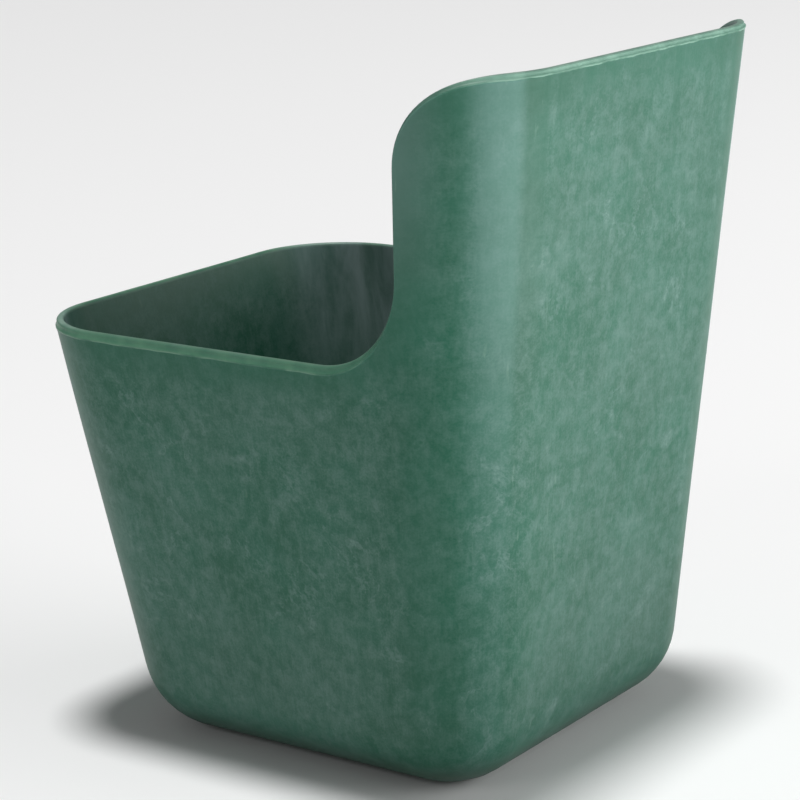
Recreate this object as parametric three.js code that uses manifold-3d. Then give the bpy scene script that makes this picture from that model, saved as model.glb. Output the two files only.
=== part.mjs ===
// A feed bucket moulded in one piece of green rubber: a tapered tub on a square flat base, whose
// rear wall stands up as a high panel and wraps forward round both rear corners.
// Units are millimetres and +Z is up. The low front rim faces -Y, and the origin is the middle of
// the flat underside, between the four walls where they would meet the ground.

import * as THREE from "three";
import { LoftGeometry } from "three/addons/geometries/LoftGeometry.js";
import { mergeVertices } from "three/addons/utils/BufferGeometryUtils.js";
import Module from "manifold-3d";

// Driving dimensions: heights.
const rimHeight = 250; // ground to the level rim at the front and along the sides
const panelRise = 160; // that rim to the top edge of the high panel

// Plan, between the outer faces of opposite walls, carried down to the ground.
const baseWidth = 248;
const baseDepth = 246;

// Drafts: how far each wall leans outwards, in degrees from upright.
const sideDraft = 5.2;
const frontDraft = 12.6;
const rearDraft = 5.7;

// Rubber thickness, measured square to the surface.
const wallThickness = 5.2;
const floorThickness = 6.5;

// Outside radii.
const baseFillet = 46; // where the walls turn under into the floor
const cornerRadius = 46; // upright corners, at the ground
const cornerGrowth = 0.058; // what that radius gains for each millimetre of height

// Outline of the high panel, seen from the side.
const panelReturn = 53; // how far it reaches forward of the rear face along each side, at rim height
const panelLean = 4.2; // backward lean of its front edge, in degrees
const rimSweep = 57; // radius where the low rim sweeps up into that edge
const shoulderRadius = 50.5; // radius where that edge turns over into the top edge

// Fineness of the curved stretches, and how far the trimming block reaches past the rubber.
const cornerSteps = 12;
const filletSteps = 10;
const trimSteps = 18;
const trimMargin = 25;

const quarterTurn = Math.PI / 2;
const totalHeight = rimHeight + panelRise;
const tightestCorner = 1;

const walls = {
  side: { foot: baseWidth / 2, draft: THREE.MathUtils.degToRad(sideDraft) },
  front: { foot: baseDepth / 2, draft: THREE.MathUtils.degToRad(frontDraft) },
  rear: { foot: baseDepth / 2, draft: THREE.MathUtils.degToRad(rearDraft) },
};

// The two skins of the shell. The inner one runs parallel to the outer one at the wall thickness.
const outerSkin = { inset: 0, floor: 0, fillet: baseFillet };
const innerSkin = {
  inset: wallThickness,
  floor: floorThickness,
  fillet: baseFillet - wallThickness,
};

// Distance from the origin to a wall's plane on one skin, at a height.
function planeReach(wall, height, skin) {
  return wall.foot + height * Math.tan(wall.draft) - skin.inset / Math.cos(wall.draft);
}

// The same distance with the base fillet, whose arc touches both the floor and the leaning wall.
function wallReach(wall, height, skin) {
  const aboveFloor = height - skin.floor;
  if (aboveFloor >= skin.fillet * (1 - Math.sin(wall.draft))) {
    return planeReach(wall, height, skin);
  }
  const arcCentre =
    planeReach(wall, skin.floor + skin.fillet, skin) - skin.fillet / Math.cos(wall.draft);
  return arcCentre + Math.sqrt(skin.fillet ** 2 - (skin.fillet - aboveFloor) ** 2);
}

// How far the base fillet pulls a wall in from its plane.
function filletPull(wall, height, skin) {
  return planeReach(wall, height, skin) - wallReach(wall, height, skin);
}

// Radius of an upright corner between a side wall and another wall. It shrinks with the base
// fillet, so that the bottom corners are as round as balls, and is never tighter than that fillet.
function uprightRadius(wall, height, skin) {
  const onPlanes = Math.max(cornerRadius, baseFillet) + cornerGrowth * height - skin.inset;
  const pull = (filletPull(walls.side, height, skin) + filletPull(wall, height, skin)) / 2;
  return Math.max(onPlanes - pull, tightestCorner);
}

// The rounded rectangle that a skin makes at one height, as a ring of points.
function section(height, skin) {
  const side = wallReach(walls.side, height, skin);
  const front = wallReach(walls.front, height, skin);
  const rear = wallReach(walls.rear, height, skin);
  const rearRadius = uprightRadius(walls.rear, height, skin);
  const frontRadius = uprightRadius(walls.front, height, skin);
  const corners = [
    [side - rearRadius, rear - rearRadius, rearRadius],
    [rearRadius - side, rear - rearRadius, rearRadius],
    [frontRadius - side, frontRadius - front, frontRadius],
    [side - frontRadius, frontRadius - front, frontRadius],
  ];
  const plan = new THREE.Path();
  corners.forEach(([x, y, radius], turn) => {
    plan.absarc(x, y, radius, turn * quarterTurn, (turn + 1) * quarterTurn);
  });
  return plan.getPoints(cornerSteps / 2).map((p) => new THREE.Vector3(p.x, p.y, height));
}

// A skin as a closed body, from its floor up to a flat lid.
function skinBody(skin, lidHeight) {
  const sections = [];
  for (let step = 0; step <= filletSteps; step++) {
    const rise = skin.fillet * (1 - Math.cos((quarterTurn * step) / filletSteps));
    sections.push(section(skin.floor + rise, skin));
  }
  sections.push(section(lidHeight, skin));
  return new LoftGeometry(sections, { capStart: true, capEnd: true });
}

// Adds to a path the straight line up to a corner and the arc that rounds it.
function roundCorner(path, before, corner, after, radius) {
  const back = before.clone().sub(corner).normalize();
  const onward = after.clone().sub(corner).normalize();
  const halfAngle = Math.acos(back.dot(onward)) / 2;
  const toCentre = back.clone().add(onward).setLength(radius / Math.sin(halfAngle));
  const centre = corner.clone().add(toCentre);
  const tangent = radius / Math.tan(halfAngle);
  const start = back.multiplyScalar(tangent).sub(toCentre);
  const end = onward.multiplyScalar(tangent).sub(toCentre);
  path.absarc(centre.x, centre.y, radius, start.angle(), end.angle(), start.cross(end) < 0);
}

// What is cut away above the rim: the side view of the space in front of and over the high panel,
// drawn with Y across and Z up, and pushed through the whole width.
function trimBlock() {
  const frontEnd = -(planeReach(walls.front, totalHeight, outerSkin) + trimMargin);
  const rearEnd = planeReach(walls.rear, totalHeight, outerSkin) + trimMargin;
  const above = totalHeight + 3 * trimMargin;
  const edgeFoot = planeReach(walls.rear, rimHeight, outerSkin) - panelReturn;
  const edgeTop = edgeFoot + panelRise * Math.tan(THREE.MathUtils.degToRad(panelLean));

  const rimFront = new THREE.Vector2(frontEnd, rimHeight);
  const rimCorner = new THREE.Vector2(edgeFoot, rimHeight);
  const shoulder = new THREE.Vector2(edgeTop, totalHeight);
  const topRear = new THREE.Vector2(rearEnd, totalHeight);

  const outline = new THREE.Shape();
  outline.moveTo(frontEnd, above);
  outline.lineTo(rimFront.x, rimFront.y);
  roundCorner(outline, rimFront, rimCorner, shoulder, rimSweep);
  roundCorner(outline, rimCorner, shoulder, topRear, shoulderRadius);
  outline.lineTo(topRear.x, topRear.y);
  outline.lineTo(rearEnd, above);

  const halfWidth = planeReach(walls.side, totalHeight, outerSkin) + trimMargin;
  const block = new THREE.ExtrudeGeometry(outline, {
    depth: 2 * halfWidth,
    bevelEnabled: false,
    curveSegments: trimSteps / 2,
  });
  block.translate(0, 0, -halfWidth);
  const [acrossY, upZ, throughX] = [
    new THREE.Vector3(0, 1, 0),
    new THREE.Vector3(0, 0, 1),
    new THREE.Vector3(1, 0, 0),
  ];
  return block.applyMatrix4(new THREE.Matrix4().makeBasis(acrossY, upZ, throughX));
}

const wasm = await Module();
wasm.setup();

// A closed geometry as a solid that can be cut.
function solidOf(geometry) {
  geometry.deleteAttribute("normal");
  geometry.deleteAttribute("uv");
  const merged = mergeVertices(geometry);
  return new wasm.Manifold(
    new wasm.Mesh({
      numProp: 3,
      vertProperties: merged.attributes.position.array,
      triVerts: new Uint32Array(merged.index.array),
    }),
  );
}

// A cut solid as a geometry again.
function geometryOf(solid) {
  const mesh = solid.getMesh();
  const geometry = new THREE.BufferGeometry();
  geometry.setAttribute("position", new THREE.BufferAttribute(mesh.vertProperties, 3));
  geometry.setIndex(new THREE.BufferAttribute(mesh.triVerts, 1));
  geometry.computeVertexNormals();
  return geometry;
}

// The whole moulding: the outer body, less its cavity, less what the rim line cuts away.
function mouldedShell() {
  const outside = solidOf(skinBody(outerSkin, totalHeight + trimMargin));
  const cavity = solidOf(skinBody(innerSkin, totalHeight + 2 * trimMargin));
  return geometryOf(outside.subtract(cavity).subtract(solidOf(trimBlock())));
}

const greenRubber = new THREE.MeshStandardMaterial({
  name: "green_rubber",
  color: new THREE.Color(0.13, 0.29, 0.21),
  roughness: 0.55,
  metalness: 0,
});

const shell = new THREE.Mesh(mouldedShell(), greenRubber);
shell.name = "bucket_shell";

const bucket = new THREE.Group();
bucket.name = "feed_bucket";
bucket.add(shell);

export default bucket;
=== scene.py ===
"""Looks for a high-backed feed bucket moulded in one piece of green rubber.

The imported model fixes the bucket's place and size. This script stands a finely moulded shell in for
it, with a rounded rim, the raised band that the mould's parting line leaves round the rim's outside,
and rubber that has bloomed: green under pale clouds, wisps and upright flow streaks. It then sets a
pale floor, soft lights and the camera. Every length is in metres and every angle in degrees.
"""

import logging
import math
from dataclasses import dataclass, field
from enum import Enum

import bmesh
import bpy
import numpy as np
from mathutils import Matrix, Vector


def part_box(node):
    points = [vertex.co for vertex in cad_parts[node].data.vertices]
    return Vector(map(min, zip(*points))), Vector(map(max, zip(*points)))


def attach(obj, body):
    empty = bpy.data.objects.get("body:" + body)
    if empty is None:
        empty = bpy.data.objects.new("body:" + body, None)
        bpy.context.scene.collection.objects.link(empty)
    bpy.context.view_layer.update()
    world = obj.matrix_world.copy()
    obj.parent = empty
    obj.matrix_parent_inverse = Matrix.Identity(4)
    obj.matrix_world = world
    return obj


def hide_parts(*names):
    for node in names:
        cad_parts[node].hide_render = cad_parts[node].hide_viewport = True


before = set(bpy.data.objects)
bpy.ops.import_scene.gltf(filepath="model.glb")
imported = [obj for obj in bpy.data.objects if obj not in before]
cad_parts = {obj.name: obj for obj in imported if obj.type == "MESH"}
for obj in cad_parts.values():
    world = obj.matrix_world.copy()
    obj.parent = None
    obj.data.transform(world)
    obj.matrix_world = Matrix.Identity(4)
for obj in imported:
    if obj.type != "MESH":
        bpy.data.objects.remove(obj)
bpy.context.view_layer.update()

LOG = logging.getLogger("feed_bucket")
NODE = "bucket_shell"
QUARTER = math.pi / 2.0
Triple = tuple[float, float, float]
Colour = Triple
Socket = bpy.types.NodeSocket


class End(Enum):
    """The two ends of the bucket, as the sign of their wall's outward Y direction."""

    FRONT = -1.0
    REAR = 1.0


@dataclass(frozen=True)
class Wall:
    """One flat wall: where its outer face meets the ground, and how far it leans outwards."""

    foot: float
    draft: float

    @property
    def slope(self) -> float:
        """Outward run for each unit of height."""
        return math.tan(math.radians(self.draft))

    @property
    def cosine(self) -> float:
        """Cosine of the draft, which turns a thickness into a level distance."""
        return math.cos(math.radians(self.draft))

    def plane(self, z: np.ndarray, inset: np.ndarray) -> np.ndarray:
        """Level distance from the middle to the wall's plane, at a height and a depth in the rubber."""
        return self.foot + z * self.slope - inset / self.cosine

    def reach(self, z: np.ndarray, inset: np.ndarray, floor: float, fillet: float) -> np.ndarray:
        """Level distance to the wall, with the arc that turns it into the floor.

        The arc of radius (fillet - inset) touches the floor and the leaning plane. Above its upper
        end the wall is the plane itself.

        Args:
            z: Heights.
            inset: Depths below the outer skin.
            floor: Height of the floor that this skin runs into.
            fillet: Radius of the arc on the outer skin.

        Returns:
            Distances, of the shape that z and inset make together.
        """
        radius = fillet - inset
        rise = z - floor
        centre = self.plane(floor + radius, inset) - radius / self.cosine
        arc = centre + np.sqrt(np.clip(radius**2 - (radius - rise) ** 2, 0.0, None))
        tangent = radius * (1.0 - math.sin(math.radians(self.draft)))
        return np.where(rise < tangent, arc, self.plane(z, inset))


REAR_WALL = Wall(0.123, 5.7)


@dataclass(frozen=True)
class Section:
    """A rounded rectangle across one end of the bucket: half width, reach of the end wall, corner."""

    side: np.ndarray
    end: np.ndarray
    radius: np.ndarray

    @property
    def flat(self) -> np.ndarray:
        """Half width of the flat stretch of the end wall."""
        return self.side - self.radius


@dataclass(frozen=True)
class Place:
    """Where a point is round one end, apart from the size of the section it lies on.

    share is its signed part of the end wall's flat half width, turn its angle round the corner in
    radians, and past its part of the side wall's stretch from the corner to the seam.
    """

    share: np.ndarray
    turn: np.ndarray
    past: np.ndarray

    def put(self, section: Section, end: End, seam: float) -> tuple[np.ndarray, np.ndarray]:
        """Puts the place on a section: along the flat, round the corner's arc, then along the side.

        Args:
            section: The section across this end.
            end: Which end.
            seam: Y at which the grids of the two ends meet.

        Returns:
            (X, Y) of each point.
        """
        sign = np.where(self.share < 0.0, -1.0, 1.0)
        x = self.share * section.flat + sign * section.radius * np.sin(self.turn)
        stretch = section.end - section.radius - end.value * seam
        y = section.end - section.radius * (1.0 - np.cos(self.turn)) - self.past * stretch
        return x, end.value * y

    def outward(self, end: End) -> tuple[np.ndarray, np.ndarray]:
        """X and Y of the level direction that points out of the wall there."""
        sign = np.where(self.share < 0.0, -1.0, 1.0)
        return sign * np.sin(self.turn), end.value * np.cos(self.turn)


@dataclass
class Patch:
    """A grid of points with the values that the finish reads, ready to be turned into faces.

    grain is where each point's pattern is taken from, turn is 0 at the middle of the rear wall, 1 on
    a side and 2 at the middle of the front, inset is the depth below the outer skin, and wear holds
    the shares of the rim's three finishes: band, top and flash.
    """

    points: np.ndarray
    grain: np.ndarray
    turn: np.ndarray
    inset: np.ndarray
    wear: np.ndarray


@dataclass(frozen=True)
class MouldForm:
    """The form that the mould gives the rubber: four drafted walls, round corners and a round foot.

    Grids are laid from the middle of either end wall, and meet on both side walls at Y = seam.
    """

    seam: float
    side: Wall = Wall(0.124, 5.2)
    front: Wall = Wall(0.123, 12.6)
    rear: Wall = REAR_WALL
    thickness: float = 0.0052
    floor_thickness: float = 0.0065
    fillet: float = 0.046
    corner: float = 0.046
    corner_growth: float = 0.058
    tightest_corner: float = 0.001
    grain_height: float = 0.150

    def floor_of(self, inset: float) -> float:
        """Height of the floor of the skin at a depth: the ground outside, the inner floor inside."""
        return self.floor_thickness if inset >= self.thickness else 0.0

    def section(self, z: np.ndarray, inset: np.ndarray, end: End, floor: float) -> Section:
        """The section across one end at a height and a depth in the rubber.

        The corner's radius grows with height and shrinks with depth, and with the mean of how far
        the foot's arc pulls the two walls in, so that the bottom corners are as round as balls.

        Args:
            z: Heights.
            inset: Depths below the outer skin.
            end: Which end.
            floor: Height of the floor that the skin runs into.

        Returns:
            The section.
        """
        wall = self.front if end is End.FRONT else self.rear
        side = self.side.reach(z, inset, floor, self.fillet)
        reach = wall.reach(z, inset, floor, self.fillet)
        pull = (self.side.plane(z, inset) - side + wall.plane(z, inset) - reach) / 2.0
        radius = max(self.corner, self.fillet) + self.corner_growth * z - inset - pull
        return Section(side, reach, np.maximum(radius, self.tightest_corner))

    def length_to(self, y: np.ndarray, section: Section, end: End) -> np.ndarray:
        """Length round a section from the middle of its end wall to a point on the side.

        The flat, then the arc whose angle has the cosine inward / radius, then what is left of Y.

        Args:
            y: Y of the point.
            section: The section across this end.
            end: Which end.

        Returns:
            Lengths, of the shape that y and the section make together.
        """
        inward = end.value * y - (section.end - section.radius)
        turn = np.arccos(np.clip(inward / section.radius, 0.0, 1.0))
        return section.flat + section.radius * turn + np.clip(-inward, 0.0, None)

    def locate(self, along: np.ndarray, section: Section, end: End) -> Place:
        """The place at a length round a section: the length shared out to flat, arc and side.

        Args:
            along: Signed lengths from the middle of the end wall.
            section: The section across this end.
            end: Which end.

        Returns:
            The places.
        """
        length = np.abs(along)
        share = np.copysign(np.minimum(length / section.flat, 1.0), along)
        turn = np.clip((length - section.flat) / section.radius, 0.0, QUARTER)
        stretch = section.end - section.radius - end.value * self.seam
        past = np.clip(length - section.flat - section.radius * QUARTER, 0.0, None) / stretch
        return Place(share, turn, past)

    def patch(self, along: np.ndarray, z: np.ndarray, inset: np.ndarray, end: End,
              floor: float, wear: np.ndarray) -> Patch:
        """Points of the mould's surface, with their warp and the values that the finish reads.

        The grain is read on the section at one height, so that upright streaks follow the leaning
        walls. Below, it is drawn in as the foot's arc draws in the wall.

        Args:
            along: Signed lengths round each section from the middle of the end wall.
            z: Heights.
            inset: Depths below the outer skin.
            end: Which end the lengths are measured from.
            floor: Height of the floor that the skin runs into.
            wear: Shares of the rim's three finishes, or a single zero for none.

        Returns:
            A patch of the shape that the arguments make together.
        """
        along, z, inset = np.broadcast_arrays(along, z, inset)
        section = self.section(z, inset, end, floor)
        place = self.locate(along, section, end)
        x, y = place.put(section, end, self.seam)
        still = np.full_like(z, self.grain_height)
        middle = self.section(still, np.zeros_like(z), end, 0.0)
        grain_x, grain_y = place.put(middle, end, self.seam)
        drawn = self.side.reach(z, inset, floor, self.fillet) / self.side.plane(z, inset)
        grain = np.stack([grain_x * drawn, grain_y * drawn, z], axis=-1)
        out_x, out_y = place.outward(end)
        warp = Warp().push(grain)
        points = np.stack([x + warp * out_x, y + warp * out_y, z], axis=-1)
        turn = 1.0 + (place.turn / QUARTER - 1.0) * end.value
        return Patch(points, grain, turn, inset, np.broadcast_to(wear, points.shape))


@dataclass(frozen=True)
class Warp:
    """The slight unevenness of thick rubber as it cools: three slow waves that cross the walls."""

    amount: float = 0.00035
    foot: float = 0.035
    waves: tuple[tuple[float, float, float, float], ...] = (
        (31.0, 9.0, 23.0, 0.4), (-17.0, 37.0, 14.0, 2.1), (44.0, -26.0, -31.0, 4.4))

    def push(self, grain: np.ndarray) -> np.ndarray:
        """Outward push: the mean of sines of the dot product of place and wave, none at the foot.

        Args:
            grain: Places on the upright form of the grain, as rows of X, Y and Z.

        Returns:
            A level distance for each place.
        """
        waves = np.array(self.waves)
        phase = np.tensordot(grain, waves[:, :3], axes=([-1], [1])) + waves[:, 3]
        rise = np.clip(grain[..., 2] / self.foot - 1.0, 0.0, 1.0)
        return self.amount * rise * np.sin(phase).mean(axis=-1)


@dataclass(frozen=True)
class RimLine:
    """The rim seen from the side: level, a sweep up, the panel's leaning edge, a shoulder, level."""

    height: float
    rim_height: float = 0.250
    rear: Wall = REAR_WALL
    panel_return: float = 0.053
    lean: float = 4.2
    sweep: float = 0.057
    shoulder: float = 0.0505
    sweep_steps: int = 26
    edge_steps: int = 12
    shoulder_steps: int = 22
    far: float = 1.0

    @property
    def foot_y(self) -> float:
        """Where the panel's edge, carried down, meets the level rim."""
        return self.rear.plane(self.rim_height, 0.0) - self.panel_return

    @property
    def head_y(self) -> float:
        """Where the panel's edge, carried up, meets the top."""
        rise = self.height - self.rim_height
        return self.foot_y + rise * math.tan(math.radians(self.lean))

    def tangent(self, radius: float) -> float:
        """Distance from a bend's corner to either end of its arc."""
        return radius / math.tan(math.radians(90.0 + self.lean) / 2.0)

    @property
    def sweep_start(self) -> float:
        """Y where the level rim ends and the sweep begins."""
        return self.foot_y - self.tangent(self.sweep)

    @property
    def shoulder_end(self) -> float:
        """Y where the shoulder ends and the level top begins."""
        return self.head_y + self.tangent(self.shoulder)

    def stations(self) -> tuple[np.ndarray, np.ndarray]:
        """Points of the rising rim line, and at each the direction into the rubber.

        The sweep is an arc whose centre is in the air, so the rubber is away from the centre. The
        shoulder's centre is in the rubber. Between them the edge is straight.

        Returns:
            (Y and Z of each point, Y and Z of its inward direction), each as rows.
        """
        lean = math.radians(self.lean)
        phi = np.linspace(0.0, QUARTER - lean, self.sweep_steps + 1)
        inward = np.stack([np.sin(phi), -np.cos(phi)], axis=-1)
        centre = np.array([self.sweep_start, self.rim_height + self.sweep])
        low = centre + self.sweep * inward
        theta = np.linspace(lean, QUARTER, self.shoulder_steps + 1)
        into = np.stack([np.cos(theta), -np.sin(theta)], axis=-1)
        crown = np.array([self.shoulder_end, self.height - self.shoulder])
        high = crown - self.shoulder * into
        share = np.linspace(0.0, 1.0, self.edge_steps + 1)[1:-1, None]
        middle = low[-1] + share * (high[0] - low[-1])
        straight = np.broadcast_to(into[0], middle.shape)
        return np.concatenate([low, middle, high]), np.concatenate([inward, straight, into])

    def below(self, y: np.ndarray, z: np.ndarray) -> np.ndarray:
        """Distance from each point to the rim line, in the side view.

        The least of the distances to all the short straight pieces of the line, whose two level
        stretches are carried on as far as Y = -far and Y = far.

        Args:
            y: Y of the points.
            z: Z of the points.

        Returns:
            Distances.
        """
        rising, _ = self.stations()
        line = np.concatenate([[[-self.far, self.rim_height]], rising, [[self.far, self.height]]])
        best = np.full(y.shape, self.far)
        for start, stop in zip(line[:-1], line[1:]):
            run = stop - start
            share = ((y - start[0]) * run[0] + (z - start[1]) * run[1]) / (run @ run)
            share = np.clip(share, 0.0, 1.0)
            gap = np.hypot(y - start[0] - share * run[0], z - start[1] - share * run[1])
            best = np.minimum(best, gap)
        return best


@dataclass(frozen=True)
class RimProfile:
    """The rim's cross-section, from the outer skin over the top to the inner skin.

    depth runs down from the top of the rim and inset runs in from the outer skin. The outer edge is
    a raised, bevelled band, which ends below in a thin lip of flash at the mould's parting line. The
    parting line is nearly level, so the band narrows fast where the rim climbs. Each of the lip's
    rows says how many steps it is below the parting line, how many times the band's and the lip's
    height it stands in from the wall, and its shares of the finishes: band, top and flash.
    """

    thickness: float
    root: float = 0.010
    low_band: float = 0.0047
    high_band: float = 0.0032
    least_band: float = 0.0006
    narrowing: float = 2.4
    roundness: float = 0.40
    bevel: float = 0.0009
    proud: float = 0.00020
    least_proud: float = 0.00005
    flash: float = 0.00012
    step: float = 0.00032
    full_step: float = 0.003
    unevenness: float = 0.00028
    inner_round: float = 0.0010
    proud_swing: float = 0.25
    flash_swing: float = 0.8
    flash_fade: float = 3.0
    wear_rate: float = 1.6
    wear_delay: float = 0.9
    inner_wear: float = 0.5
    lip_rows: tuple[tuple[float, float, float, Triple], ...] = (
        (2.2, 0.0, 0.0, (0.0, 0.0, 0.0)), (1.0, -0.1, 0.0, (0.0, 0.0, 0.0)),
        (0.5, 0.0, -0.8, (0.0, 0.0, 0.8)), (0.0, 0.0, -1.0, (0.0, 0.0, 1.0)),
        (-1.0, 0.0, -1.0, (0.5, 0.0, 0.9)), (-2.4, -1.0, 0.0, (1.0, 0.0, 0.4)))
    bevel_shares: tuple[float, ...] = (0.45, 0.7, 0.9)
    top_shares: tuple[float, ...] = (0.62, 0.72)
    skin_shares: tuple[float, ...] = (0.12, 0.5, 1.0)
    outer_steps: int = 7
    inner_steps: int = 5

    def curve(self, level: np.ndarray, climb: np.ndarray,
              drift: np.ndarray) -> tuple[np.ndarray, np.ndarray, np.ndarray]:
        """Depths, insets and finishes of the profile at each station.

        The rows run up the wall to the parting line, over the lip of flash, up the bevelled band,
        round the outer edge (whose finish turns from band to worn top), over the top, round the
        inner edge and down the inner skin.

        Args:
            level: Cosine of the rim's slope at each station, as a column.
            climb: How far up the rise each station is, from 0 to 1, as a column.
            drift: How much lower than usual the parting line is there, from -1 to 1, as a column.

        Returns:
            (depths, insets, shares of band, top and flash), one row for each station.
        """
        band = self.low_band + (self.high_band - self.low_band) * climb
        parting = self.least_band + (band - self.least_band) * level**self.narrowing
        parting = parting + self.unevenness * drift * level
        step = self.step * np.clip(parting / self.full_step, 0.0, 1.0)
        proud = (self.least_proud + self.proud * level) * (1.0 + self.proud_swing * drift)
        clean, pale = level**self.narrowing, level ** (self.flash_fade * self.narrowing)
        lip = proud + self.flash * pale * (1.0 + self.flash_swing * drift)
        rounded, bevel = self.roundness * parting, self.bevel * level
        zero = np.zeros_like(parting)
        rows = [(self.root + zero, zero, (0, 0, 0)), ((self.root + parting) / 2.0, zero, (0, 0, 0))]
        rows += [(parting + s * step, p * proud + q * lip, wear) for s, p, q, wear in self.lip_rows]
        rows += [(parting + (rounded - parting) * s, bevel * s - proud * (1.0 - s), (1, 0, 0))
                 for s in self.bevel_shares]
        for a in np.linspace(0.0, QUARTER, self.outer_steps + 1):
            share = float(np.clip(self.wear_rate * a - self.wear_delay, 0.0, 1.0))
            rows.append((rounded * (1.0 - math.sin(a)), bevel + rounded * (1.0 - math.cos(a)),
                         (1.0 - share, share, 0)))
        rows += [(zero, zero + s * self.thickness, (0, 1, 0)) for s in self.top_shares]
        for a in np.linspace(0.0, QUARTER, self.inner_steps + 1):
            rows.append((self.inner_round * (1.0 - math.cos(a)) + zero,
                         self.thickness - self.inner_round * (1.0 - math.sin(a)) + zero,
                         (0, 1.0 - self.inner_wear * math.sin(a), 0)))
        rows += [(self.inner_round + s * (self.root - self.inner_round) + zero,
                  zero + self.thickness, (0, 0, 0)) for s in self.skin_shares]
        fades = np.stack([clean, np.ones_like(clean), pale], axis=-1)
        wear = np.array([w for _, _, w in rows], dtype=float)
        return (np.concatenate([d for d, _, _ in rows], axis=1),
                np.concatenate([i for _, i, _ in rows], axis=1),
                wear * fades)


@dataclass
class BucketShell:
    """The whole moulding as one closed skin of grids that share their edges."""

    line: RimLine
    pitch: float = 0.0034
    wall_rows: int = 40
    fillet_rows: int = 12
    floor_rows: int = 9
    weld: float = 1.0e-6
    wander: float = 0.35
    waves: tuple[float, ...] = (71.0, 133.0, 211.0, 397.0)
    wave_shift: float = 3.0
    patches: list[tuple[Patch, bool]] = field(default_factory=list)

    def __post_init__(self) -> None:
        """Works out the form, the rim's profile and the columns that every grid shares."""
        self.form = MouldForm(self.line.sweep_start)
        self.profile = RimProfile(self.form.thickness)
        self.front_columns = self.columns(End.FRONT)
        self.rear_columns = self.columns(End.REAR)

    def length(self, z: np.ndarray, inset: np.ndarray, end: End, floor: float) -> np.ndarray:
        """Half the length of one end's grid: from the middle of its wall to the sweep's start."""
        section = self.form.section(z, inset, end, floor)
        return self.form.length_to(self.form.seam, section, end)

    def columns(self, end: End) -> np.ndarray:
        """Even shares round one end, about a pitch apart at the rim.

        Args:
            end: Which end.

        Returns:
            Shares of half the length, from -1 to 1.
        """
        z = np.array(self.line.rim_height)
        count = 2 * round(float(self.length(z, np.array(0.0), end, 0.0)) / self.pitch)
        return np.linspace(-1.0, 1.0, count + 1)

    def heights(self, inset: float) -> np.ndarray:
        """Heights of the rings of one skin: at even angles round the foot's arc, then even.

        Args:
            inset: Depth of the skin in the rubber.

        Returns:
            The heights, as a column.
        """
        floor = self.form.floor_of(inset)
        radius = self.form.fillet - inset
        angle = np.linspace(0.0, QUARTER, self.fillet_rows + 1)
        arc = floor + radius * (1.0 - np.cos(angle))
        wall = np.linspace(arc[-1], self.line.rim_height - self.profile.root, self.wall_rows + 1)
        return np.concatenate([arc, wall[1:]])[:, None]

    def ring_grids(self, inset: float) -> list[Patch]:
        """The rings of one skin, from its floor to just below the level rim.

        Args:
            inset: Depth of the skin in the rubber.

        Returns:
            The front's grid and the rear's.
        """
        floor = self.form.floor_of(inset)
        z = self.heights(inset)
        grids = []
        for end, shares in ((End.FRONT, self.front_columns), (End.REAR, self.rear_columns)):
            length = self.length(z, np.full_like(z, inset), end, floor)
            grids.append(self.form.patch(length * shares, z, inset, end, floor, np.zeros(1)))
        return grids

    def floor_grids(self, rings: list[Patch]) -> list[Patch]:
        """The flat floor of a skin: its lowest ring drawn in towards the middle by even shares.

        Args:
            rings: The grids of the skin's rings.

        Returns:
            A grid of the floor for each of them.
        """
        share = np.linspace(0.0, 1.0, self.floor_rows + 1)[:, None, None]
        level = np.array([1.0, 1.0, 0.0])
        grids = []
        for ring in rings:
            scale = share * level + (1.0 - level)
            still = np.ones_like(share)
            grids.append(Patch(ring.points[:1] * scale, ring.grain[:1] * scale,
                               ring.turn[:1] * still[..., 0], ring.inset[:1] * still[..., 0],
                               ring.wear[:1] * still))
        return grids

    def panel_grid(self, inset: float) -> Patch:
        """The high panel of one skin: level rows from one rising edge round the rear to the other.

        Args:
            inset: Depth of the skin in the rubber.

        Returns:
            The panel's grid, up to just below the rim.
        """
        line, inward = self.line.stations()
        edge = line + self.profile.root * inward
        y, z = edge[:, :1], edge[:, 1:]
        section = self.form.section(z, np.full_like(z, inset), End.REAR, 0.0)
        length = self.form.length_to(y, section, End.REAR)
        return self.form.patch(length * self.rear_columns, z, inset, End.REAR, 0.0, np.zeros(1))

    def drift(self, length: np.ndarray) -> np.ndarray:
        """How the parting line wanders along the rim: a mean of sines that never quite repeat."""
        return sum(np.sin(wave * length + self.wave_shift * number)
                   for number, wave in enumerate(self.waves)) / len(self.waves)

    def climb(self, z: np.ndarray) -> np.ndarray:
        """How far up the rim's rise a height is, from 0 to 1."""
        return (z - self.line.rim_height) / (self.line.height - self.line.rim_height)

    def level_rim(self, end: End, shares: np.ndarray, top: float, stop: float) -> Patch:
        """A level stretch of the rim, from one side round an end to the other side.

        Args:
            end: Which end it goes round.
            shares: Signed shares of the stretch's half length, in order.
            top: Height of the stretch.
            stop: Y at which the stretch ends on both sides.

        Returns:
            The profile carried along the stretch, one row for each share.
        """
        shares = shares[:, None]
        climb = np.full_like(shares, self.climb(top))
        drift = self.drift(self.wander * shares + top)
        depth, inset, wear = self.profile.curve(np.ones_like(shares), climb, drift)
        z = top - depth
        section = self.form.section(z, inset, end, 0.0)
        along = shares * self.form.length_to(stop, section, end)
        return self.form.patch(along, z, inset, end, 0.0, wear)

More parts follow.
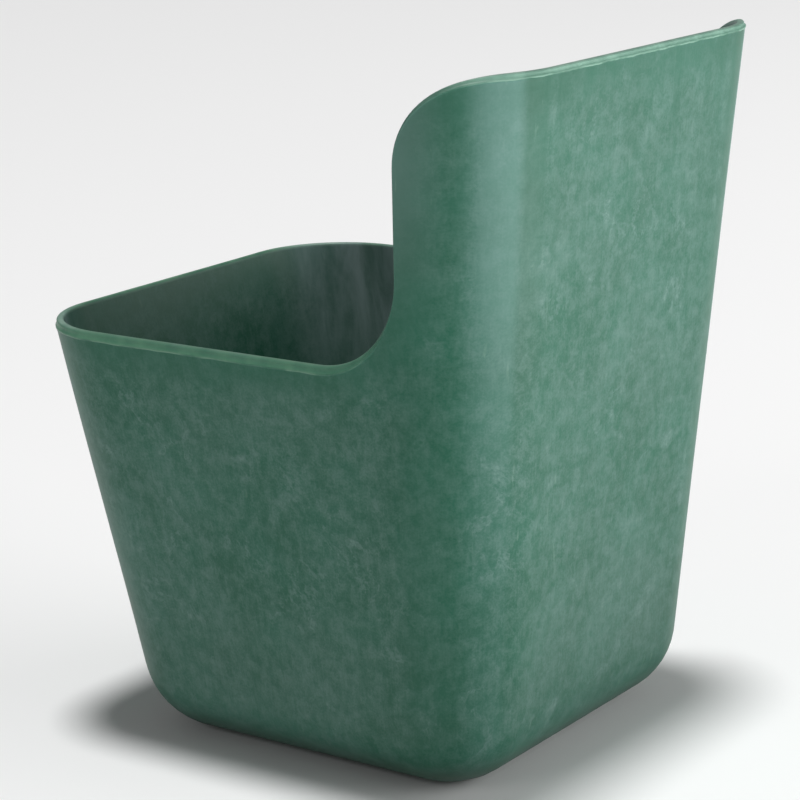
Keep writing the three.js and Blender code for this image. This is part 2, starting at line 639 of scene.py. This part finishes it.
    def rising_rim(self, sign: float) -> Patch:
        """The rim's rise on one side: the profile at each station of the rim line.

        The parting line wanders on its own in the middle of the rise, and is drawn at both ends
        towards where the level stretches leave it.

        Args:
            sign: 1 for the right side and -1 for the left.

        Returns:
            The profile carried along the rise, one row for each station.
        """
        line, inward = self.line.stations()
        gap = np.hypot(*np.diff(line, axis=0).T)
        length = np.concatenate([[0.0], np.cumsum(gap)])[:, None]
        fade = np.sin(math.pi * length / length[-1]) ** 0.5
        heights = np.array([self.line.rim_height, self.line.height])
        ends = self.drift(sign * self.wander + heights)
        nearest = np.where(length < length[-1] / 2, ends[0], ends[1])
        drift = self.drift(sign + length) * fade + nearest * (1.0 - fade)
        depth, inset, wear = self.profile.curve(-inward[:, 1:], self.climb(line[:, 1:]), drift)
        y = line[:, :1] + depth * inward[:, :1]
        z = line[:, 1:] + depth * inward[:, 1:]
        section = self.form.section(z, inset, End.REAR, 0.0)
        along = sign * self.form.length_to(y, section, End.REAR)
        return self.form.patch(along, z, inset, End.REAR, 0.0, wear)

    def rim_grids(self) -> list[Patch]:
        """The rim as four grids that meet end to end.

        Returns:
            The level front, the right rise, the level top and the left rise.
        """
        line = self.line
        return [
            self.level_rim(End.FRONT, self.front_columns, line.rim_height, self.form.seam),
            self.rising_rim(1.0),
            self.level_rim(End.REAR, self.rear_columns[::-1], line.height, line.shoulder_end),
            self.rising_rim(-1.0),
        ]

    def lay(self) -> None:
        """Makes every grid and notes which of them must be turned over to face outwards."""
        for inset in (0.0, self.form.thickness):
            inside = inset > 0.0
            rings = self.ring_grids(inset)
            for end, grid in zip((End.FRONT, End.REAR), rings):
                self.patches.append((grid, inside ^ (end is End.REAR)))
            for end, grid in zip((End.FRONT, End.REAR), self.floor_grids(rings)):
                self.patches.append((grid, inside ^ (end is End.REAR)))
            self.patches.append((self.panel_grid(inset), not inside))
        for number, grid in enumerate(self.rim_grids()):
            self.patches.append((grid, number != 3))

    @staticmethod
    def faces(rows: int, columns: int, start: int, turned: bool) -> np.ndarray:
        """Corner numbers of the four-sided faces of a grid.

        Args:
            rows: How many rows of points it has.
            columns: How many points there are in a row.
            start: Number of its first point.
            turned: Whether its faces are turned over.

        Returns:
            Four numbers for each face.
        """
        number = start + np.arange(rows * columns).reshape(rows, columns)
        a, b = number[:-1, :-1], number[:-1, 1:]
        c, d = number[1:, 1:], number[1:, :-1]
        loop = (a, d, c, b) if turned else (a, b, c, d)
        return np.stack(loop, axis=-1).reshape(-1, 4)

    def mesh(self) -> bpy.types.Mesh:
        """Joins the grids into one mesh, writes the finish's attributes and closes the seams.

        Returns:
            The mesh of the closed skin.
        """
        points, corners = [], []
        values = {"grain": [], "rim_wear": [], "turn": [], "inside": [], "below_rim": []}
        start = 0
        for grid, turned in self.patches:
            rows, columns = grid.points.shape[:2]
            corners.append(self.faces(rows, columns, start, turned))
            places = grid.points.reshape(-1, 3)
            points.append(places)
            values["grain"].append(grid.grain.reshape(-1, 3))
            values["rim_wear"].append(grid.wear.reshape(-1, 3))
            values["turn"].append(grid.turn.ravel())
            values["inside"].append(np.clip(grid.inset.ravel() / self.form.thickness, 0.0, 1.0))
            values["below_rim"].append(self.line.below(places[:, 1], places[:, 2]))
            start += rows * columns
        mesh = bpy.data.meshes.new("bucket_moulding")
        mesh.from_pydata(np.concatenate(points), [], np.concatenate(corners).tolist())
        for name, parts in values.items():
            single = parts[0].ndim == 1
            kind, key = ("FLOAT", "value") if single else ("FLOAT_VECTOR", "vector")
            layer = mesh.attributes.new(name, kind, "POINT")
            layer.data.foreach_set(key, np.concatenate(parts).astype(np.float32).ravel())
        work = bmesh.new()
        work.from_mesh(mesh)
        bmesh.ops.remove_doubles(work, verts=work.verts, dist=self.weld)
        open_edges = sum(1 for edge in work.edges if len(edge.link_faces) != 2)
        LOG.info("moulding: %d faces, %d open edges, %.3f litres of rubber", len(work.faces),
                 open_edges, work.calc_volume(signed=True) * 1000.0)
        work.to_mesh(mesh)
        work.free()
        mesh.shade_smooth()
        return mesh

    def build(self) -> bpy.types.Object:
        """Makes the moulding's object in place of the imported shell.

        Returns:
            The object.
        """
        self.lay()
        piece = bpy.data.objects.new("bucket_moulding", self.mesh())
        bpy.context.scene.collection.objects.link(piece)
        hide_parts(NODE)
        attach(piece, "root")
        return piece

    def dress(self, piece: bpy.types.Object) -> None:
        """Gives the moulding its rubber."""
        piece.data.materials.append(BloomedRubber().material())


@dataclass(frozen=True)
class Span:
    """A smooth step: low..high is carried to start..stop, which hold on either side."""

    low: float
    high: float
    start: float = 0.0
    stop: float = 1.0


@dataclass(frozen=True)
class Pattern:
    """Fractal noise, the levels that make a pattern of it, and how much of it the finish takes.

    scale is in cells for each metre. upright draws the cells out along their third axis when it is
    below 1, and tilt first turns that axis away from the vertical.
    """

    scale: float
    detail: float
    rough: float
    levels: Span = Span(0.0, 1.0)
    bend: float = 0.0
    upright: float = 1.0
    tilt: Triple = (0.0, 0.0, 0.0)
    share: float = 1.0


class Nodes:
    """A material's node tree, with one short method for each kind of node that the finishes use."""

    def __init__(self, name: str) -> None:
        """Starts an empty tree with its output and its surface shader.

        Args:
            name: The material's name.
        """
        self.material = bpy.data.materials.new(name)
        self.material.use_nodes = True
        self.tree = self.material.node_tree
        self.tree.nodes.clear()
        self.output = self.tree.nodes.new("ShaderNodeOutputMaterial")
        self.shader = self.tree.nodes.new("ShaderNodeBsdfPrincipled")
        self.tree.links.new(self.shader.outputs[0], self.output.inputs["Surface"])

    def put(self, socket: Socket, value: object) -> None:
        """Links a socket to another node's output, or sets it to a plain value.

        Args:
            socket: The input.
            value: An output, or a number, a vector or a colour.
        """
        if isinstance(value, Socket):
            self.tree.links.new(value, socket)
        else:
            socket.default_value = value

    def attribute(self, name: str, output: str) -> Socket:
        """One of the moulding's attributes.

        Args:
            name: The attribute.
            output: The name of the output that reads it as a number or as a vector.

        Returns:
            The output.
        """
        node = self.tree.nodes.new("ShaderNodeAttribute")
        node.attribute_name = name
        return node.outputs[output]

    def parts(self, vector: Socket) -> tuple[Socket, ...]:
        """The three numbers of a vector.

        Args:
            vector: The vector.

        Returns:
            The outputs for X, Y and Z.
        """
        node = self.tree.nodes.new("ShaderNodeSeparateXYZ")
        self.put(node.inputs[0], vector)
        return tuple(node.outputs)

    def ramp(self, value: Socket, span: Span) -> Socket:
        """A value carried over a smooth step.

        Args:
            value: The value.
            span: The step.

        Returns:
            The output.
        """
        node = self.tree.nodes.new("ShaderNodeMapRange")
        node.interpolation_type = "SMOOTHSTEP"
        self.put(node.inputs["Value"], value)
        for key, number in (("From Min", span.low), ("From Max", span.high),
                            ("To Min", span.start), ("To Max", span.stop)):
            node.inputs[key].default_value = number
        return node.outputs[0]

    def maths(self, operation: str, first: object, second: object = 0.0,
              clamp: bool = False) -> Socket:
        """One step of arithmetic.

        Args:
            operation: The name of the step.
            first: A value or a number.
            second: A value or a number.
            clamp: Whether the result is held between 0 and 1.

        Returns:
            The output.
        """
        node = self.tree.nodes.new("ShaderNodeMath")
        node.operation = operation
        node.use_clamp = clamp
        self.put(node.inputs[0], first)
        self.put(node.inputs[1], second)
        return node.outputs[0]

    def times(self, first: Socket, *others: object) -> Socket:
        """The product of some values.

        Args:
            first: The first value.
            others: The other values or numbers, in order.

        Returns:
            The last output.
        """
        for other in others:
            first = self.maths("MULTIPLY", first, other)
        return first

    def away(self, value: Socket, middle: float) -> Socket:
        """How far a value is from a middle one, on either side."""
        return self.maths("ABSOLUTE", self.maths("SUBTRACT", value, middle))

    def total(self, *terms: tuple[Socket, float]) -> Socket:
        """The sum of each value times its weight, held between 0 and 1.

        Args:
            terms: Pairs of a value and its weight.

        Returns:
            The output.
        """
        value: object = 0.0
        for term, weight in terms:
            value = self.maths("ADD", self.times(term, weight), value)
        return self.maths("ADD", value, 0.0, clamp=True)

    def blend(self, share: object, first: object, second: object) -> Socket:
        """A mix of two colours.

        Args:
            share: How much of the second, from 0 to 1.
            first: A colour.
            second: A colour.

        Returns:
            The output.
        """
        node = self.tree.nodes.new("ShaderNodeMix")
        node.data_type = "RGBA"
        self.put(node.inputs["Factor"], share)
        for key, value in (("A", first), ("B", second)):
            socket = next(s for s in node.inputs if s.name == key and s.type == "RGBA")
            self.put(socket, (*value, 1.0) if isinstance(value, tuple) else value)
        return next(s for s in node.outputs if s.type == "RGBA")

    def relief(self, height: Socket, strength: float, distance: float) -> Socket:
        """A normal turned by a height pattern.

        Args:
            height: The pattern.
            strength: How much of the relief is seen, from 0 to 1.
            distance: Height that the pattern's 1 stands for.

        Returns:
            The output.
        """
        node = self.tree.nodes.new("ShaderNodeBump")
        self.put(node.inputs["Height"], height)
        node.inputs["Strength"].default_value = strength
        node.inputs["Distance"].default_value = distance
        return node.outputs[0]


class SkinNodes(Nodes):
    """A node tree for the moulding's skin, with what the finish reads at each place on it."""

    def __init__(self, name: str) -> None:
        """Starts the tree, and reads the moulding's attributes and the height above the ground.

        Args:
            name: The material's name.
        """
        super().__init__(name)
        self.grain = self.attribute("grain", "Vector")
        self.below = self.attribute("below_rim", "Fac")
        self.turn = self.attribute("turn", "Fac")
        self.inside = self.attribute("inside", "Fac")
        self.band, self.top, self.lip = self.parts(self.attribute("rim_wear", "Vector"))
        place = self.tree.nodes.new("ShaderNodeTexCoord")
        self.height = self.parts(place.outputs["Object"])[2]

    def drawn(self, look: Pattern) -> Socket:
        """The grain, tilted and drawn out as a pattern says.

        Args:
            look: The pattern.

        Returns:
            The output.
        """
        node = self.tree.nodes.new("ShaderNodeMapping")
        self.put(node.inputs["Vector"], self.grain)
        node.inputs["Rotation"].default_value = look.tilt
        node.inputs["Scale"].default_value = (1.0, 1.0, look.upright)
        return node.outputs[0]

    def noise(self, look: Pattern) -> Socket:
        """A pattern's fractal noise, between 0 and 1, before its levels are set.

        Args:
            look: The pattern.

        Returns:
            The output.
        """
        vector = self.drawn(look) if look.upright < 1.0 else self.grain
        node = self.tree.nodes.new("ShaderNodeTexNoise")
        self.put(node.inputs["Vector"], vector)
        for key, value in (("Scale", look.scale), ("Detail", look.detail),
                           ("Roughness", look.rough), ("Distortion", look.bend)):
            node.inputs[key].default_value = value
        return node.outputs["Fac"]

    def pattern(self, look: Pattern) -> Socket:
        """A pattern: its noise carried over its levels."""
        return self.ramp(self.noise(look), look.levels)


@dataclass(frozen=True)
class BloomFilm:
    """The pale film of bloom: its patterns, and where handling and flow have left less of it.

    Turns run from 0 at the middle of the rear wall over 1 on a side to 2 at the middle of the front.
    """

    clouds: Pattern = Pattern(12.0, 2.0, 0.50, Span(0.36, 0.68), bend=0.3, share=0.17)
    mottle: Pattern = Pattern(110.0, 6.0, 0.72, Span(0.34, 0.70), bend=0.2, share=0.37)
    streaks: Pattern = Pattern(500.0, 2.0, 0.6, Span(0.36, 0.70), upright=0.13, share=0.09)
    grains: Pattern = Pattern(800.0, 1.0, 0.5, Span(0.30, 0.72), share=0.14)
    peaks: Pattern = Pattern(44.0, 7.0, 0.70, Span(0.52, 0.74), bend=0.4, share=0.55)
    peak_areas: Pattern = Pattern(15.0, 1.0, 0.5, Span(0.42, 0.64))
    curls: Pattern = Pattern(22.0, 5.0, 0.66, Span(0.0, 0.030, 1.0, 0.0), bend=0.4, share=0.34)
    curl_middle: float = 0.5
    curl_areas: Pattern = Pattern(27.0, 2.0, 0.5, Span(0.52, 0.66))
    curl_breaks: Pattern = Pattern(260.0, 3.0, 0.6, Span(0.35, 0.60))
    gaps: float = 0.09
    rim_depths: Span = Span(0.004, 0.030, 0.40, 1.0)
    handled: float = 0.74
    handled_turns: Span = Span(0.10, 0.34, 0.62, 1.0)
    bands: Pattern = Pattern(100.0, 2.0, 0.5, Span(0.40, 0.62), upright=0.05, share=0.30)
    bare_rear: Span = Span(0.03, 0.09)
    bare_side: Span = Span(0.19, 0.26, 0.62, 0.0)
    bare_heights: Span = Span(0.24, 0.38)

    def lay(self, n: SkinNodes, mottle: Socket, streaks: Socket) -> Socket:
        """The film's thickness: the sum of its patterns less the gaps, thinner where it is worn.

        Args:
            n: The skin's node tree.
            mottle: The mottling, which the relief shares.
            streaks: The upright flow streaks, which the relief shares.

        Returns:
            The thickness, between 0 and 1.
        """
        film = n.total((n.pattern(self.clouds), self.clouds.share), (mottle, self.mottle.share),
                       (self.marks(n), self.peaks.share), (self.wisps(n), self.curls.share),
                       (streaks, self.streaks.share), (n.pattern(self.grains), self.grains.share))
        film = n.maths("SUBTRACT", film, self.gaps, clamp=True)
        return n.times(film, n.ramp(n.below, self.rim_depths), self.wiped(n), self.bare(n))

    def marks(self, n: SkinNodes) -> Socket:
        """Soft pale marks: the peaks of a rough noise, gathered in scattered areas."""
        return n.times(n.pattern(self.peaks), n.pattern(self.peak_areas))

    def wisps(self, n: SkinNodes) -> Socket:
        """Thin curls: where a bent noise is close to its middle value, in scattered areas only."""
        ridge = n.ramp(n.away(n.noise(self.curls), self.curl_middle), self.curls.levels)
        return n.times(ridge, n.pattern(self.curl_areas), n.pattern(self.curl_breaks))

    def wiped(self, n: SkinNodes) -> Socket:
        """How much bloom handling has left: less where the rear corners run into the side walls."""
        return n.ramp(n.away(n.turn, self.handled), self.handled_turns)

    def bare(self, n: SkinNodes) -> Socket:
        """How much bloom is left between the bare upright bands high on the panel.

        The bands are faint, but for a bolder one where each round corner runs into the rear wall.

        Args:
            n: The skin's node tree.

        Returns:
            The share, from 0 to 1.
        """
        bands = n.times(n.pattern(self.bands), self.bands.share)
        bold = n.times(n.ramp(n.turn, self.bare_rear), n.ramp(n.turn, self.bare_side))
        share = n.times(n.maths("MAXIMUM", bands, bold), n.ramp(n.height, self.bare_heights))
        return n.maths("SUBTRACT", 1.0, share)


@dataclass(frozen=True)
class RimTone:
    """A colour of the rim, on the level front and on the paler top of the panel."""

    low: Colour
    high: Colour


@dataclass(frozen=True)
class RimFinish:
    """The rim's three finishes: a clean band, a worn top and a thin lip of flash."""

    clean: RimTone = RimTone((0.100, 0.245, 0.155), (0.190, 0.350, 0.270))
    worn: RimTone = RimTone((0.120, 0.250, 0.165), (0.250, 0.385, 0.310))
    flash: RimTone = RimTone((0.135, 0.275, 0.188), (0.190, 0.345, 0.265))
    patches: Pattern = Pattern(60.0, 4.0, 0.6, Span(0.32, 0.68, 0.45, 0.95))
    breaks: Pattern = Pattern(42.0, 3.0, 0.6, Span(0.40, 0.60, 0.10, 1.0))
    rise_heights: Span = Span(0.26, 0.40)
    front_corner: float = 1.5
    corner_turns: Span = Span(0.12, 0.50, 1.0, 0.0)

    def coat(self, n: SkinNodes, colour: Socket) -> Socket:
        """Lays each finish over a colour, in patches, where its share of the rim's wear says.

        All three are paler up the rise, and the top also in the middle of each front corner.

        Args:
            n: The skin's node tree.
            colour: The colour beneath.

        Returns:
            The colour with the rim's finishes on it.
        """
        patches, breaks = n.pattern(self.patches), n.pattern(self.breaks)
        rise = n.ramp(n.height, self.rise_heights)
        corner = n.ramp(n.away(n.turn, self.front_corner), self.corner_turns)
        worn = n.maths("MAXIMUM", rise, corner)
        for share, spread, tone, lift in ((n.band, patches, self.clean, rise),
                                          (n.top, patches, self.worn, worn),
                                          (n.lip, breaks, self.flash, rise)):
            colour = n.blend(n.times(share, spread), colour, n.blend(lift, tone.low, tone.high))
        return colour


@dataclass(frozen=True)
class BloomedRubber:
    """Satin green rubber under pale bloom, with painted light and shade, and darker at the very foot.

    Turns are counted as in the film, and heights are above the ground.
    """

    deep: Colour = (0.009, 0.099, 0.056)
    fresh: Colour = (0.013, 0.115, 0.069)
    bloom: Colour = (0.152, 0.257, 0.229)
    # Colour of the painted highlight down the panel's round corners.
    painted_highlight: Colour = (0.128, 0.286, 0.250)
    # Pale grey: painted light on the upper inside, and also the paler upper wings.
    pale_grey: Colour = (0.198, 0.280, 0.272)
    scuffed: Colour = (0.250, 0.385, 0.310)
    # Darkest colour, at the very foot.
    foot_dark: Colour = (0.040, 0.050, 0.040)
    # Painted shade, used inside and low on the outside.
    shade: Colour = (0.010, 0.045, 0.028)
    film: BloomFilm = BloomFilm()
    rim: RimFinish = RimFinish()
    tint: Pattern = Pattern(21.0, 2.0, 0.5, Span(0.30, 0.72), bend=0.2)
    scratches: Pattern = Pattern(300.0, 2.0, 0.5, Span(0.68, 0.76), bend=0.3, upright=0.16,
                                 tilt=(0.9, 0.7, 0.4), share=0.15)
    scratch_areas: Pattern = Pattern(17.0, 1.0, 0.5, Span(0.45, 0.62))
    # Where the painted highlight lies: turns round the panel's corners, and heights.
    highlight_rear: Span = Span(0.19, 0.28)
    highlight_side: Span = Span(0.38, 0.62, 1.0, 0.0)
    highlight_heights: Span = Span(0.14, 0.35, 0.10, 0.38)
    wing_turns: Span = Span(0.52, 0.95, 0.0, 0.36)
    wing_heights: Span = Span(0.27, 0.37)
    # Where the painted light on the upper inside lies: upright streaks, turns round the walls, and
    # heights.
    inner_light_streaks: Pattern = Pattern(46.0, 4.0, 0.6, Span(0.34, 0.66, 0.32, 1.0), bend=0.3, upright=0.30)
    inner_light_rear: Span = Span(0.55, 0.90)
    inner_light_front: Span = Span(1.50, 1.95, 1.0, 0.0)
    inner_light_heights: Span = Span(0.12, 0.225)
    crown_heights: Span = Span(0.385, 0.404, 0.0, 0.45)
    inner_shade: float = 0.38
    # Heights of the painted shade on the outside, and of the darker foot below it.
    shade_heights: Span = Span(0.010, 0.140, 0.19, 0.0)
    foot_dark_heights: Span = Span(0.000, 0.030, 0.50, 0.0)
    least_rough: float = 0.40
    most_rough: float = 0.60
    specular: float = 0.30
    fine: Pattern = Pattern(1500.0, 2.0, 0.6, share=0.30)
    streak_relief: float = 0.35
    mottle_relief: float = 0.25
    relief: float = 0.00012
    relief_strength: float = 0.35

    def material(self) -> bpy.types.Material:
        """Builds the material.

        The film of bloom pales and roughens the green. A painted highlight down the panel's corners,
        paler grey high on the wings, scuffs, painted shade inside, painted light on the upper inside,
        the rim's finishes, painted shade low on the outside and a darker foot are laid over it in that
        order.

        Returns:
            The finished material.
        """
        n = SkinNodes("green_rubber_bloom")
        mottle, streaks = n.pattern(self.film.mottle), n.pattern(self.film.streaks)
        film = self.film.lay(n, mottle, streaks)
        green = n.blend(n.pattern(self.tint), self.deep, self.fresh)
        outside = n.maths("SUBTRACT", 1.0, n.inside)
        colour = n.blend(film, green, self.bloom)
        # Laid in order: painted highlight on the corners, paler grey wings, scuffs, painted shade
        # inside, painted light on the upper inside.
        for share, tone in ((self.corner_highlight(n), self.painted_highlight), (self.wing(n), self.pale_grey),
                            (self.scuffs(n), self.scuffed),
                            (n.times(n.inside, self.inner_shade), self.shade),
                            (self.inner_light_and_pale_top(n), self.pale_grey)):
            colour = n.blend(share, colour, tone)
        colour = self.rim.coat(n, colour)
        # Painted shade darkening the outside towards the foot, then darker still at the very foot.
        for heights, tone in ((self.shade_heights, self.shade), (self.foot_dark_heights, self.foot_dark)):
            colour = n.blend(n.times(n.ramp(n.height, heights), outside), colour, tone)
        n.put(n.shader.inputs["Base Color"], colour)

        rough = n.maths("ADD", n.times(film, self.most_rough - self.least_rough), self.least_rough)
        n.put(n.shader.inputs["Roughness"], rough)
        n.shader.inputs["Specular IOR Level"].default_value = self.specular
        lumps = n.total((streaks, self.streak_relief), (mottle, self.mottle_relief),
                        (n.noise(self.fine), self.fine.share))
        n.put(n.shader.inputs["Normal"], n.relief(lumps, self.relief_strength, self.relief))
        return n.material

    def corner_highlight(self, n: SkinNodes) -> Socket:
        """Painted highlight: a pale upright band down the panel's round corners, sharp towards the rear
        wall.
        """
        return n.times(n.ramp(n.turn, self.highlight_rear), n.ramp(n.turn, self.highlight_side),
                       n.ramp(n.height, self.highlight_heights))

    def wing(self, n: SkinNodes) -> Socket:
        """Paler and greyer high on the wings, more so towards their front edge."""
        return n.times(n.ramp(n.turn, self.wing_turns), n.ramp(n.height, self.wing_heights))

    def scuffs(self, n: SkinNodes) -> Socket:
        """A few short pale marks: the peaks of a tilted, drawn-out noise, in scattered areas."""
        return n.times(n.pattern(self.scratches), n.pattern(self.scratch_areas),
                       self.scratches.share)

    def inner_light_and_pale_top(self, n: SkinNodes) -> Socket:
        """Painted light in upright streaks on the upper inside of the sides and front corners, and
        paler along the top inside.

        Args:
            n: The skin's node tree.

        Returns:
            How much pale grey is laid on, from 0 to 1.
        """
        side = n.times(n.ramp(n.turn, self.inner_light_rear), n.ramp(n.turn, self.inner_light_front))
        inner_light_streaks = n.times(n.pattern(self.inner_light_streaks), n.ramp(n.height, self.inner_light_heights))
        crown = n.ramp(n.height, self.crown_heights)
        return n.times(n.inside, n.maths("MAXIMUM", n.times(side, inner_light_streaks), crown))


@dataclass(frozen=True)
class PaleFloor:
    """Plain, pale, matt studio paper."""

    colour: Colour = (0.90, 0.90, 0.90)
    rough: float = 0.9

    def material(self) -> bpy.types.Material:
        """Builds the material.

        Returns:
            The finished material.
        """
        n = Nodes("studio_paper")
        n.put(n.shader.inputs["Base Color"], (*self.colour, 1.0))
        n.put(n.shader.inputs["Roughness"], self.rough)
        return n.material


@dataclass(frozen=True)
class SoftBox:
    """A large lit panel: its middle, the point it faces, its width and height, and its watts."""

    name: str
    middle: Triple
    faces: Triple
    width: float
    height: float
    watts: float

    def build(self) -> None:
        """Hangs the panel and turns it to its point."""
        lamp = bpy.data.lights.new(self.name, "AREA")
        lamp.shape = "RECTANGLE"
        lamp.size, lamp.size_y = self.width, self.height
        lamp.energy = self.watts
        holder = bpy.data.objects.new(self.name, lamp)
        holder.location = self.middle
        facing = Vector(self.faces) - Vector(self.middle)
        holder.rotation_euler = facing.to_track_quat("-Z", "Y").to_euler()
        holder.visible_camera = False
        bpy.context.scene.collection.objects.link(holder)


@dataclass(frozen=True)
class Overhead:
    """An even light from straight above, as wide in the sky as its angle, in watts a square metre."""

    angle: float
    strength: float

    def build(self) -> None:
        """Hangs the light; a new lamp already shines straight down."""
        lamp = bpy.data.lights.new("overhead", "SUN")
        lamp.angle = math.radians(self.angle)
        lamp.energy = self.strength
        bpy.context.scene.collection.objects.link(bpy.data.objects.new("overhead", lamp))


@dataclass
class Studio:
    """The floor, the lights and the camera."""

    floor_size: float = 40.0
    sky: float = 0.12
    overhead: Overhead = Overhead(10.0, 2.3)
    boxes: tuple[SoftBox, ...] = (
        SoftBox("key", (-1.8, 3.6, 1.50), (0.0, 0.0, 1.50), 5.4, 2.8, 136.0),
        SoftBox("card on the floor", (-0.05, 0.95, 0.01), (-0.05, 0.95, 1.0), 1.1, 0.6, 11.0),
        SoftBox("fill", (2.3, -0.45, 1.35), (0.0, 0.0, 0.2), 1.0, 0.8, 6.0),
    )
    azimuth: float = 125.597
    elevation: float = 14.592
    roll: float = -1.5407
    lens: float = 118.98
    sensor: float = 36.0
    distance: float = 1.5641
    aim: Vector = field(default_factory=lambda: Vector((0.0058, -0.0029, 0.1934)))

    def build_floor(self) -> None:
        """Lays a square of paper on the ground."""
        half = self.floor_size / 2.0
        corners = [(-half, -half, 0.0), (half, -half, 0.0), (half, half, 0.0), (-half, half, 0.0)]
        mesh = bpy.data.meshes.new("floor")
        mesh.from_pydata(corners, [], [(0, 1, 2, 3)])
        mesh.materials.append(PaleFloor().material())
        floor = bpy.data.objects.new("floor", mesh)
        bpy.context.scene.collection.objects.link(floor)

    def build_lights(self) -> None:
        """Lights the panel from low behind, the floor from overhead, and all from a pale sky."""
        world = bpy.data.worlds.new("studio")
        world.use_nodes = True
        sky = world.node_tree.nodes["Background"]
        sky.inputs["Color"].default_value = (1.0, 1.0, 1.0, 1.0)
        sky.inputs["Strength"].default_value = self.sky
        bpy.context.scene.world = world
        self.overhead.build()
        for box in self.boxes:
            box.build()

    def build_camera(self) -> None:
        """Places the camera on a sphere round its aim point and rolls it about its own axis."""
        azimuth, elevation = math.radians(self.azimuth), math.radians(self.elevation)
        back = Vector((math.sin(azimuth) * math.cos(elevation),
                       -math.cos(azimuth) * math.cos(elevation), math.sin(elevation)))
        right = (-back).cross(Vector((0.0, 0.0, 1.0))).normalized()
        upward = right.cross(-back)
        roll = math.radians(self.roll)
        across = math.cos(roll) * right + math.sin(roll) * upward
        over = -math.sin(roll) * right + math.cos(roll) * upward
        lens = bpy.data.cameras.new("camera")
        lens.lens = self.lens
        lens.sensor_width = self.sensor
        camera = bpy.data.objects.new("camera", lens)
        turn = Matrix((across, over, back)).transposed().to_4x4()
        camera.matrix_world = Matrix.Translation(self.aim + back * self.distance) @ turn
        bpy.context.scene.collection.objects.link(camera)
        bpy.context.scene.camera = camera
        bpy.context.scene.view_settings.view_transform = "Standard"


def main() -> None:
    """Builds the moulding and the studio."""
    logging.basicConfig(level=logging.INFO, format="%(name)s: %(message)s")
    _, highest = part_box(NODE)
    shell = BucketShell(RimLine(highest[2]))
    piece = shell.build()
    shell.dress(piece)
    LOG.info("%s stands for %s", piece.name, NODE)
    studio = Studio()
    studio.build_floor()
    studio.build_lights()
    studio.build_camera()
    LOG.info("studio built")


if __name__ == "__main__":
    main()
